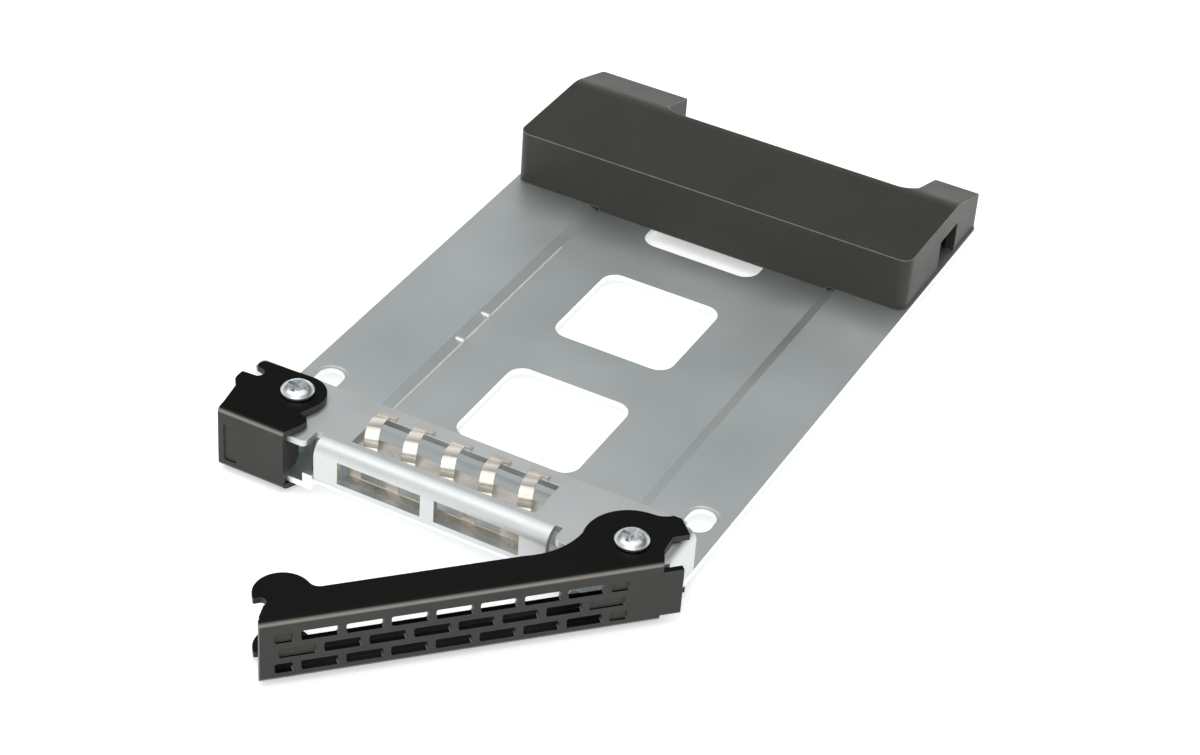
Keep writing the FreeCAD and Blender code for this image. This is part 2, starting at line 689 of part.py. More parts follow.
def make_button():
    """Latch button: a small face folded to two flanges that carry the catch for the lever."""
    body = new_body("latch_button")
    left, right, face, eye = size("button_left"), size("button_right"), button_face, size("button_eye")
    catch_x, catch_top, catch_low = size("catch_reach"), size("catch_top"), size("catch_low")
    back, heel = polar(as_size(0), as_size(0), eye, 95), polar(as_size(0), as_size(0), eye, -25)
    hook = half_tray + button_x
    notch = size("notch_depth") / 2
    outline = [line(-left, -face), line(-left - cap_gap, -(face - cap_t * 2)), line(-left - cap_t, -(eye - cap_t))]
    outline += [line(-(eye * 2.2), -eye / 2), arc(-(eye * 2.22), 0, eye, -1), line(-hook + notch, cap_gap)]
    outline += [arc(-hook + notch, notch * 1.5, notch * 0.8, 1), line(-hook, notch * 1.7)]
    outline += [arc(-hook + notch / 3, eye * 0.92, notch, -1), line(*back), arc(*heel, eye, -1)]
    outline += [line(catch_x * 0.62, -catch_top + cap_gap), line(catch_x * 0.85, -catch_top)]
    outline += [line(catch_x, -catch_top - cap_t), line(catch_x - cap_gap * 2, -catch_low)]
    outline += [line(right, -face)]
    make_cap_flanges(body, outline, pin_hole)
    plate = draw_box(new_sketch(body, "XZ_Plane", face), -left, cap_low, right, cap_top)
    extrude(body, "Pad", plate, cap_t, reverse=True)
    mark = draw_rounded_box(new_sketch(body, "XZ_Plane", face), -left + cap_t, cap_low + cap_t * 1.6,
                            -left + cap_t * 3.4, cap_top - cap_t * 2.8, cap_gap)
    extrude(body, "Pocket", mark, size("button_mark_depth"))
    dress(body, "Fillet", size("cap_fold"), [(None, -face, cap_top), (None, -face, cap_low)])
    place(body, button_x, button_y, 0)
    return body


def turn_profile(body, steps):
    """Revolve a half section about the body's Z axis."""
    sketch = draw_path(new_sketch(body, "XZ_Plane"), steps)
    feature = body.newObject("PartDesign::Revolution", body.Label + "_turned")
    feature.Profile = sketch
    feature.ReferenceAxis = (sketch, ["V_Axis"])
    feature.Angle = 360
    doc.recompute()
    return feature


def make_post(label, x, y):
    """Riveted standoff: a barrel between tray and flange, necked and headed below, bored for its screw."""
    body = new_body(label)
    barrel, neck, head = size("post_radius"), size("pin_radius"), size("rivet_radius")
    bore = size("thread_radius") + size("run_gap")
    under = -(sheet_t + cap_gap * 2 + cap_t)
    low = under - size("rivet_height")
    floor = bracket_under - size("thread_length") - cap_gap
    edge = size("rivet_height") / 2
    steps = [line(0, low), line(head - edge, low), arc(head, low + edge, edge, 1), line(head, under)]
    steps += [line(neck, under), line(neck, 0), line(barrel, 0), line(barrel, bracket_under)]
    steps += [line(bore, bracket_under), line(bore, floor), line(0, floor - bore / 2)]
    turn_profile(body, steps)
    place(body, x, y, 0)
    return body


def make_screw(label, shoulder, thread_length, x, y, z, flip=False):
    """Cross-recessed pan head screw, head up from z = 0, with an optional plain shoulder under the head."""
    body = new_body(label)
    head, tall = size("screw_head_radius"), size("screw_head_height")
    pin, thread = size("pin_radius"), size("thread_radius")
    steps = [line(0, tall), line(0, -(shoulder + thread_length)), line(thread / 2, -(shoulder + thread_length))]
    steps += [line(thread, -(shoulder + thread_length - thread / 2)), line(thread, -shoulder)]
    if as_size(shoulder).value > 0:
        steps += [line(pin, -shoulder), line(pin, 0)]
    steps += [line(head, 0), line(head, tall / 3), arc(head * 0.55, tall, head * 0.75, 1)]
    turn_profile(body, steps)
    arm, half = head * 0.64, head * 0.15
    cross = [line(-half, -arm), line(half, -arm), line(half, -half), line(arm, -half), line(arm, half)]
    cross += [line(half, half), line(half, arm), line(-half, arm), line(-half, half), line(-arm, half)]
    cross += [line(-arm, -half), line(-half, -half)]
    extrude(body, "Pocket", draw_path(new_sketch(body, "XY_Plane", tall), cross), size("recess_depth"))
    if flip:
        body.Placement.Rotation = FreeCAD.Rotation(FreeCAD.Vector(1, 0, 0), 180)
    place(body, x, y, z)
    return body


def wire_section(middle, along, radius):
    """Eight-sided section of a thin wire, square to a direction."""
    outline = [FreeCAD.Vector(radius * math.cos(math.radians(45 * corner)),
                              radius * math.sin(math.radians(45 * corner)), 0) for corner in range(9)]
    section = Part.makePolygon(outline)
    section.Placement = FreeCAD.Placement(middle, FreeCAD.Rotation(FreeCAD.Vector(0, 0, 1), along))
    return section


def make_spring():
    """Torsion spring round the button's post: one leg bears on the face, the other on the tray's tab."""
    wire, radius, low = size("spring_wire").value, size("spring_radius").value, size("spring_low").value
    turns = size("spring_turns").value
    height = size("spring_pitch").value * turns
    face_room = (button_face - cap_t - size("front_gap")).value - wire
    tab_room = (button_y - front_edge - sheet_t - size("front_gap") / 4).value - wire
    start = FreeCAD.Vector(radius, 0, 0)
    anchor = FreeCAD.Vector((relief_left - button_x).value + wire * 2, -tab_room, 0)
    end = FreeCAD.Vector(radius * math.cos(turns * 2 * math.pi), 0, height)
    helix = Part.makeHelix(size("spring_pitch").value, height, radius)
    section = wire_section(start, FreeCAD.Vector(0, 1, 0), wire)
    coil = Part.Wire(helix).makePipeShell([section], True, True)
    legs = []
    for first, last in ((start, anchor), (end, FreeCAD.Vector(-radius, -face_room, height))):
        run = last - first
        legs.append(Part.Face(wire_section(first, run, wire)).extrude(run))
    spring = doc.addObject("Part::Feature", "Button_return_spring")
    spring.Label = "button_return_spring"
    spring.Shape = coil.fuse(legs)
    spring.Placement = FreeCAD.Placement(FreeCAD.Vector(button_x.value, button_y.value, low),
                                         FreeCAD.Rotation())
    return spring


def make_cover():
    """Moulded rear cover: a hollow block with two sloping ears, open below, with side ports and screw bosses."""
    body = new_body("rear_cover")
    half = half_tray - size("cover_side_inset")
    front = size("tray_length") - size("cover_depth")
    ear_back = size("tray_length") - size("cover_rear_inset")
    back = ear_back - size("ear_length")
    tall, wall, ear_end = size("cover_height"), size("cover_wall"), size("ear_end_height")
    left_in, right_in = size("left_ear_width") - half, half - size("right_ear_width")
    outline = [line(-half, front), line(half, front), line(half, ear_back), line(right_in, ear_back)]
    outline += [line(right_in, back), line(left_in, back), line(left_in, ear_back), line(-half, ear_back)]
    extrude(body, "Pad", draw_path(new_sketch(body, "XY_Plane"), outline), tall)
    ear, fall, crease = size("ear_length"), tall - ear_end, size("ear_crease")
    hypotenuse = root(ear * ear + fall * fall)
    slope = [line(back - crease, tall)]
    slope += [arc(back + crease * ear / hypotenuse, tall - crease * fall / hypotenuse,
                  crease * fall / (hypotenuse - ear), -1)]
    slope += [line(ear_back, ear_end), line(ear_back + wall, ear_end)]
    slope += [line(ear_back + wall, tall + wall), line(back - crease, tall + wall)]
    extrude(body, "Pocket", draw_path(new_sketch(body, "YZ_Plane"), slope), half * 2 + wall, midplane=True)
    dress(body, "Fillet", size("cover_corner"), [(-half, front, None), (half, front, None)])
    dress(body, "Fillet", size("cover_crotch"), [(right_in, back, None), (left_in, back, None)])
    ends = [(x, ear_back, None) for x in (-half, left_in, right_in, half)]
    dress(body, "Fillet", size("cover_edge"), ends)
    block = draw_box(new_sketch(body, "XY_Plane"), wall - half, front + wall, half - wall, back - wall)
    extrude(body, "Pocket", block, tall - wall, reverse=True)
    for inner_x, outer_x in ((left_in - wall, wall - half), (right_in + wall, half - wall)):
        hollow = draw_box(new_sketch(body, "XY_Plane"), inner_x, back - wall * 2, outer_x, ear_back - wall)
        extrude(body, "Pocket", hollow, ear_end - wall, reverse=True)
    drop, slant = size("channel_drop"), size("channel_slope_angle")
    run = drop * sine(slant) / cosine(slant) + size("run_gap")
    skirt = draw_box(new_sketch(body, "XY_Plane", -drop), size("channel_left_inset") - half_tray + run, front,
                     half_tray - size("channel_right_inset") - run, front + wall)
    extrude(body, "Pad", skirt, drop)
    port_y = front + size("side_port_start")
    port_end = port_y + size("side_port_length")
    for side in (-1, 1):
        port = draw_box(new_sketch(body, "YZ_Plane", half * side), port_y, 0, port_end, size("side_port_height"))
        extrude(body, "Pocket", port, wall, reverse=(side < 0))
    for side in (-1, 1):
        x = hole_x * side
        disc = draw_circle(new_sketch(body, "XY_Plane"), x, rear_hole_y, size("boss_radius"))
        extrude(body, "Pad", disc, tall - wall / 2)
        bore = draw_circle(new_sketch(body, "XY_Plane"), x, rear_hole_y, size("thread_radius") + size("run_gap"))
        extrude(body, "Pocket", bore, size("cover_screw_length") + cap_gap, reverse=True)
    return body


# ---------------------------------------------------------------- build and write

screw_seat = cap_top + cap_gap
shoulder_run = screw_seat - bracket_under
parts = [make_tray(), make_bracket(), make_fingers(), make_lever(), make_button(), make_spring(), make_cover()]
for name, x, y in (("lever", lever_x, lever_y), ("button", button_x, button_y)):
    parts.append(make_post(name + "_pivot_post", x, y))
    parts.append(make_screw(name + "_pivot_screw", shoulder_run, size("thread_length"), x, y, screw_seat))
for side, sign in (("left", -1), ("right", 1)):
    parts.append(make_screw("cover_screw_" + side, 0, size("cover_screw_length") - sheet_t,
                            hole_x * sign, rear_hole_y, -sheet_t, flip=True))
doc.recompute()

for item in doc.Objects:
    if "Invalid" in item.State or "Error" in item.State:
        raise RuntimeError(f"{item.Label} failed: {item.State}")
os.makedirs("parts", exist_ok=True)
for part in parts:
    if part.Shape.isNull() or not part.Shape.isValid() or len(part.Shape.Solids) != 1:
        raise RuntimeError(f"{part.Label} has no valid single solid")
for part in parts:
    part.Shape.exportStep(os.path.join("parts", part.Label + ".step"))
    box = part.Shape.BoundBox
    print(f"{part.Label}: {part.Shape.Volume:.1f} mm3, x {box.XMin:.2f}..{box.XMax:.2f},"
          f" y {box.YMin:.2f}..{box.YMax:.2f}, z {box.ZMin:.2f}..{box.ZMax:.2f}")
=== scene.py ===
"""Dresses the hot swap drive caddy.

Gives its solids their finishes, adds small pressed and folded details, and sets a pale studio.
"""

import logging
import math
from dataclasses import dataclass
from enum import Enum

import bmesh
import bpy
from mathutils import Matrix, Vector


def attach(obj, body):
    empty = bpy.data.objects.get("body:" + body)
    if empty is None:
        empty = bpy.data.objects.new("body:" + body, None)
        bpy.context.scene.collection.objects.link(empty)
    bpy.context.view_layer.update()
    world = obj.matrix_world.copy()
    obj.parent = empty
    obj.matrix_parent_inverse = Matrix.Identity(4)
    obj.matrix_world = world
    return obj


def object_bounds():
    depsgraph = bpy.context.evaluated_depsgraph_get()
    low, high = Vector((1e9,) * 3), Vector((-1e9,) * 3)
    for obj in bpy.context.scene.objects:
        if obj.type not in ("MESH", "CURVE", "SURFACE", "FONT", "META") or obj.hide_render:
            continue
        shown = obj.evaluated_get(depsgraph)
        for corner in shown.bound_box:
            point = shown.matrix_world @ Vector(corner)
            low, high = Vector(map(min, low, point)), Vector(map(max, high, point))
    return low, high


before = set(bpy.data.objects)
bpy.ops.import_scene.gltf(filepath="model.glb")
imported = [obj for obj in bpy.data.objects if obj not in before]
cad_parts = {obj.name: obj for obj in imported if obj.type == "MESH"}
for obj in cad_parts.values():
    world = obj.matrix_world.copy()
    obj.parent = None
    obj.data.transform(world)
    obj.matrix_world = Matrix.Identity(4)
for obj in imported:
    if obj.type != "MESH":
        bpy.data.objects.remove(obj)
cad_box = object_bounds()

MM = 0.001
NOISE_LOW, NOISE_HIGH = 0.3, 0.7  # Most of the noise lies between these levels.
ROUGH_SPREAD = 0.1  # How far the mottling changes the roughness, as a share of it.
TURN_STARTS, TURN_FULL = 0.985, 0.8  # Cosines of an edge's turn where its wear and painted highlight start and are full.
FOLD_STARTS, FOLD_FULL = 0.1, 0.4  # Upward parts of the normal where a fold's painted highlight starts and is full.
LEVEL_STARTS, LEVEL_FULL = 0.55, 0.9  # The same where a level face's painted colour starts and is full.
PATCH_DETAIL, GRAIN_DETAIL = 3.0, 2.0
BEVEL_SAMPLES = 4
ARCH_STEPS = 10
WELD_DISTANCE = 0.001 * MM
log = logging.getLogger("caddy")


class Body(Enum):
    """The three bodies of the caddy that its pieces ride on."""

    TRAY = "tray"
    LEVER = "lever"
    BUTTON = "button"


def linear(hex_colour: str) -> tuple[float, float, float, float]:
    """Turns an sRGB hex colour to linear light.

    Args:
        hex_colour: The colour as #RRGGBB.

    Returns:
        Red, green, blue and alpha in linear light.
    """
    levels = [int(hex_colour[place:place + 2], 16) / 255 for place in (1, 3, 5)]
    lit = [level / 12.92 if level <= 0.04045 else ((level + 0.055) / 1.055) ** 2.4
           for level in levels]
    return (lit[0], lit[1], lit[2], 1.0)


def add(tree: bpy.types.NodeTree, kind: str, inputs: dict | None = None,
        **settings) -> bpy.types.Node:
    """Adds a node with its settings and links.

    Args:
        tree: The node tree that the node goes in.
        kind: The node's type name.
        inputs: A value or another node's output for each input, by name or number.
        settings: The node's own properties.

    Returns:
        The new node.
    """
    node = tree.nodes.new(kind)
    for name, value in settings.items():
        setattr(node, name, value)
    for socket, value in (inputs or {}).items():
        if isinstance(value, bpy.types.NodeSocket):
            tree.links.new(value, node.inputs[socket])
        else:
            node.inputs[socket].default_value = value
    return node


@dataclass(frozen=True)
class Finish:
    """A finish of one real material: what every surface of the caddy shares."""

    name: str
    colour: str
    shade: str
    roughness: float
    metallic: float = 0.0
    # Colour laid along sharp edges and how strongly: partly worn uncoated metal, partly a painted
    # highlight.
    edge_colour_worn_and_lit: str = "#808080"
    edge_strength_worn_and_lit: float = 0.0
    edge_mm: float = 0.2
    patch_mm: float = 9.0
    grain_mm: float = 0.4
    grain_along: float = 1.0
    grain_height_mm: float = 0.004
    ior: float = 1.5
    specular: float = 0.5
    # Painted light and shade by facing: a colour for the level faces, a painted highlight over the
    # folds and a colour for the upright faces.
    level_painted_colour: str | None = None
    fold_painted_highlight: str | None = None
    upright_painted_colour: str | None = None

    def material(self) -> bpy.types.Material:
        """Builds the finish as a node material.

        Returns:
            The material, with mottling, grain, softened edges and edge wear at their real sizes, the
            edges partly a painted highlight, and light and shade painted by which way each face looks
            where the finish asks for it.
        """
        material = bpy.data.materials.new(self.name)
        material.use_nodes = True
        tree = material.node_tree
        tree.nodes.clear()
        place = add(tree, "ShaderNodeTexCoord").outputs["Object"]
        patches = add(tree, "ShaderNodeTexNoise",
                      {"Vector": place, "Scale": 1 / (self.patch_mm * MM),
                       "Detail": PATCH_DETAIL}).outputs["Fac"]
        rounded = add(tree, "ShaderNodeBevel", {"Radius": self.edge_mm * MM},
                      samples=BEVEL_SAMPLES).outputs["Normal"]
        rough = add(tree, "ShaderNodeMapRange",
                    {"Value": patches, "From Min": NOISE_LOW, "From Max": NOISE_HIGH,
                     "To Min": self.roughness * (1 - ROUGH_SPREAD),
                     "To Max": self.roughness * (1 + ROUGH_SPREAD)})
        shader = add(tree, "ShaderNodeBsdfPrincipled",
                     {"Base Color": self.worn_and_lit_colour(tree, patches, rounded),
                      "Roughness": rough.outputs["Result"], "Metallic": self.metallic,
                      "IOR": self.ior, "Specular IOR Level": self.specular,
                      "Normal": self.grained(tree, place, rounded)})
        add(tree, "ShaderNodeOutputMaterial", {"Surface": shader.outputs["BSDF"]})
        return material

    def worn_and_lit_colour(self, tree: bpy.types.NodeTree, patches: bpy.types.NodeSocket,
                    rounded: bpy.types.NodeSocket) -> bpy.types.NodeSocket:
        """Mottles the colour, paints light and shade by facing where the finish asks for it, and
        lightens it along the edges, partly as wear and partly as a painted highlight.

        Args:
            tree: The material's node tree.
            patches: The level of the mottling.
            rounded: The normal with its edges softened.

        Returns:
            The colour.
        """
        mottle = add(tree, "ShaderNodeMapRange",
                     {"Value": patches, "From Min": NOISE_LOW, "From Max": NOISE_HIGH})
        body = add(tree, "ShaderNodeMix",
                   {0: mottle.outputs["Result"], 6: linear(self.shade), 7: linear(self.colour)},
                   data_type="RGBA").outputs[2]
        # Light and shade painted by which way a face looks, where the finish asks for it.
        if self.level_painted_colour or self.fold_painted_highlight or self.upright_painted_colour:
            body = self.paint_light_by_facing(tree, body)
        # Edge mask from the softened normal: sharp edges take the edge colour, partly as wear and
        # partly as a painted highlight.
        flat = add(tree, "ShaderNodeNewGeometry").outputs["Normal"]
        turn = add(tree, "ShaderNodeVectorMath", {0: rounded, 1: flat}, operation="DOT_PRODUCT")
        edge_worn_and_lit = add(tree, "ShaderNodeMapRange",
                   {"Value": turn.outputs["Value"], "From Min": TURN_STARTS, "From Max": TURN_FULL,
                    "To Min": 0.0, "To Max": self.edge_strength_worn_and_lit})
        return add(tree, "ShaderNodeMix",
                   {0: edge_worn_and_lit.outputs["Result"], 6: body, 7: linear(self.edge_colour_worn_and_lit)},
                   data_type="RGBA").outputs[2]

    def paint_light_by_facing(self, tree: bpy.types.NodeTree, body: bpy.types.NodeSocket) -> bpy.types.NodeSocket:
        """Paints light and shade by which way a face looks: a painted colour on the upright faces, a
        painted highlight over the fold and a painted colour on the level ones.

        Args:
            tree: The material's node tree.
            body: The colour of the faces that have none of their own.

        Returns:
            The colour.
        """
        upright, bent, level = (linear(colour) if colour else body for colour in
                                (self.upright_painted_colour, self.fold_painted_highlight, self.level_painted_colour))
        facing = add(tree, "ShaderNodeNewGeometry").outputs["Normal"]
        height = add(tree, "ShaderNodeSeparateXYZ", {"Vector": facing}).outputs["Z"]
        rise = add(tree, "ShaderNodeMath", {0: height}, operation="ABSOLUTE").outputs["Value"]
        onto = add(tree, "ShaderNodeMapRange",
                   {"Value": rise, "From Min": FOLD_STARTS, "From Max": FOLD_FULL})
        away = add(tree, "ShaderNodeMapRange",
                   {"Value": rise, "From Min": LEVEL_STARTS, "From Max": LEVEL_FULL})
        fold = add(tree, "ShaderNodeMix", {0: onto.outputs["Result"], 6: upright, 7: bent},
                   data_type="RGBA")
        return add(tree, "ShaderNodeMix",
                   {0: away.outputs["Result"], 6: fold.outputs[2], 7: level},
                   data_type="RGBA").outputs[2]

    def grained(self, tree: bpy.types.NodeTree, place: bpy.types.NodeSocket,
                rounded: bpy.types.NodeSocket) -> bpy.types.NodeSocket:
        """Roughens the softened normal with the finish's fine grain.

        Args:
            tree: The material's node tree.
            place: The place on the object.
            rounded: The normal with its edges softened.

        Returns:
            The normal.
        """
        stretched = add(tree, "ShaderNodeMapping",
                        {"Vector": place, "Scale": (1.0, 1.0 / self.grain_along, 1.0)})
        grain = add(tree, "ShaderNodeTexNoise",
                    {"Vector": stretched.outputs["Vector"], "Scale": 1 / (self.grain_mm * MM),
                     "Detail": GRAIN_DETAIL})
        return add(tree, "ShaderNodeBump",
                   {"Height": grain.outputs["Fac"], "Distance": self.grain_height_mm * MM,
                    "Strength": 1.0, "Normal": rounded}).outputs["Normal"]


# Zinc-plated cold-rolled sheet: cool grey with a trace of green, cloudy, with a faint rolled grain
# along the tray and bright sheared edges, partly uncoated metal and partly a painted highlight; the
# upright faces are painted white, a painted reflection of the white floor.
ZINC_SHEET = Finish("zinc_plated_rolled_sheet", "#D2D8D8", "#C9D0D0", 0.48, metallic=1.0,
                    grain_mm=0.35, patch_mm=24.0, grain_along=10.0, grain_height_mm=0.0016,
                    edge_colour_worn_and_lit="#F2F4F4", edge_strength_worn_and_lit=0.3, edge_mm=0.12, upright_painted_colour="#FFFFFF")
# Bent plated sheet of the bracket: the same plating, a little smoother after the press and painted a
# little brighter as painted light; its level faces are painted lighter still than its upright ones,
# and its edges are partly uncoated metal and partly a painted highlight.
BRIGHT_SHEET = Finish("zinc_plated_bent_sheet", "#DADDDD", "#D2D5D5", 0.42, metallic=1.0,
                      grain_mm=0.4, grain_along=3.0, grain_height_mm=0.001,
                      edge_colour_worn_and_lit="#F4F4F4", edge_strength_worn_and_lit=0.6, edge_mm=0.15, level_painted_colour="#DDE1E1")
# The same plating painted near white as a painted highlight: the bright streaks along the crease.
HIGHLIGHT_ZINC = Finish("zinc_plating_painted_highlight", "#F4F6F6", "#E6E9E9", 0.34, metallic=0.5,
                        grain_mm=0.25, grain_along=8.0, grain_height_mm=0.002, patch_mm=2.0,
                        edge_colour_worn_and_lit="#FFFFFF", edge_mm=0.05)
# Black electro-coat over steel: painted deep black on the level flanges as painted shade, a lighter
# satin grey on the upright faces as painted light, and a pale painted highlight over the folds
# between them; its cut edges are partly uncoated steel and partly a painted highlight.
BLACK_COAT = Finish("black_electrocoated_steel", "#464644", "#3F3F3D", 0.32, grain_mm=0.5,
                    grain_height_mm=0.008, edge_colour_worn_and_lit="#8C8A82", edge_strength_worn_and_lit=0.35, edge_mm=0.12,
                    specular=0.12, level_painted_colour="#040403", fold_painted_highlight="#8B8A83")
# Moulded ABS with a fine spark-eroded texture: soft dark grey, a little warm, with a dull sheen, and
# a pale painted highlight along every sharp edge.
MOULDED_ABS = Finish("spark_textured_moulded_abs", "#34332E", "#31302B", 0.42, grain_mm=0.4,
                     grain_height_mm=0.045, edge_colour_worn_and_lit="#A8A79C", edge_strength_worn_and_lit=1.0, edge_mm=0.3,
                     ior=1.53, specular=0.3)
# Tin-plated stainless strip: bright and warm, with straw tints where it was formed.
TINNED_STRIP = Finish("tinned_spring_strip", "#F4F0E8", "#DCD6CA", 0.28, metallic=0.8, grain_mm=0.3,
                      patch_mm=3.0, grain_height_mm=0.001, edge_colour_worn_and_lit="#C9BEAC", edge_strength_worn_and_lit=0.2,
                      edge_mm=0.1)
# Bright zinc on a headed screw: cold silver, with a painted highlight on the rim of its head and its
# other sharp edges.
ZINC_SCREW = Finish("bright_zinc_plated_screw", "#E6EAEC", "#D9DEE1", 0.3, metallic=1.0,
                    grain_mm=0.35, patch_mm=1.2, grain_height_mm=0.002, edge_colour_worn_and_lit="#FFFFFF",
                    edge_strength_worn_and_lit=0.5, edge_mm=0.08)
# Hard-drawn spring wire: dark silver, drawn smooth.
DRAWN_WIRE = Finish("hard_drawn_spring_wire", "#B9BABC", "#ABACAE", 0.28, metallic=1.0,
                    grain_mm=0.2, patch_mm=1.5, grain_height_mm=0.001, edge_colour_worn_and_lit="#FFFFFF",
                    edge_mm=0.05)


def dress(finish: bpy.types.Material, *nodes: str) -> None:
    """Gives a finish to solids of the frame, over their whole surface.

    Args:
        finish: The material.
        nodes: The names of the solids.
    """
    for node in nodes:
        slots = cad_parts[node].data.materials
        slots.clear()
        slots.append(finish)
        log.info("dressed %s in %s", node, finish.name)


def place_shape(name: str, shape: bmesh.types.BMesh) -> bpy.types.Object:
    """Turns a finished shape to an object of the scene.

    Args:
        name: The object's name.
        shape: The shape, which is freed.

    Returns:
        The object.
    """
    mesh = bpy.data.meshes.new(name)
    shape.to_mesh(mesh)
    shape.free()
    item = bpy.data.objects.new(name, mesh)
    bpy.context.scene.collection.objects.link(item)
    return item


def mound(name: str, start: Vector, end: Vector, half_width: float, height: float,
          rings: int = 24) -> bpy.types.Object:
    """Makes a low rounded ridge with rounded ends, as a press raises in a sheet.

    Args:
        name: The piece's name.
        start: Where the ridge starts, on the sheet.
        end: Where it ends, on the sheet.
        half_width: Half its width.
        height: How far it stands up.
        rings: How many sections it has along its length.

    Returns:
        The ridge.
    """
    along = (end - start).normalized()
    across = Vector((0.0, 0.0, 1.0)).cross(along)
    length = (end - start).length
    turns = [math.pi * step / ARCH_STEPS for step in range(ARCH_STEPS + 1)]
    shape = bmesh.new()
    rows = []
    for ring in range(rings + 1):
        reach = 0.5 - 0.5 * math.cos(math.pi * ring / rings)
        nearest = min(reach, 1 - reach) * length
        taper = math.sqrt(max(0.0, 1 - max(0.0, 1 - nearest / half_width) ** 2))
        middle = start + along * (length * reach)
        rows.append([shape.verts.new(middle + across * (half_width * taper * math.cos(turn))
                                     + Vector((0.0, 0.0, height * taper * math.sin(turn))))
                     for turn in turns])
    for row, following in zip(rows, rows[1:]):
        for step in range(ARCH_STEPS):
            shape.faces.new((row[step], following[step], following[step + 1], row[step + 1]))
        shape.faces.new((row[-1], following[-1], following[0], row[0]))
    bmesh.ops.remove_doubles(shape, verts=shape.verts, dist=WELD_DISTANCE)
    bmesh.ops.recalc_face_normals(shape, faces=shape.faces)
    for face in shape.faces:
        face.smooth = True
    return place_shape(name, shape)


def fit(piece: bpy.types.Object, finish: bpy.types.Material, body: Body) -> None:
    """Finishes a piece and makes it ride on a body.

    Args:
        piece: The piece, in place.
        finish: Its material.
        body: The body it rides on.
    """
    piece.data.materials.append(finish)
    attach(piece, body.value)
    log.info("added %s to %s", piece.name, body.value)


@dataclass(frozen=True)
class Lamp:
    """A square soft lamp: its place and side in metres, its power in watts."""

    name: str
    place: tuple[float, float, float]
    side: float
    power: float

    def hang(self, aim: Vector) -> None:
        """Hangs the lamp.

        Args:
            aim: The point that it faces.
        """
        data = bpy.data.lights.new(self.name, "AREA")
        data.size = self.side
        data.energy = self.power
        lamp = bpy.data.objects.new(self.name, data)
        lamp.location = self.place
        lamp.rotation_euler = (aim - Vector(self.place)).to_track_quat("-Z", "Y").to_euler()
        bpy.context.scene.collection.objects.link(lamp)


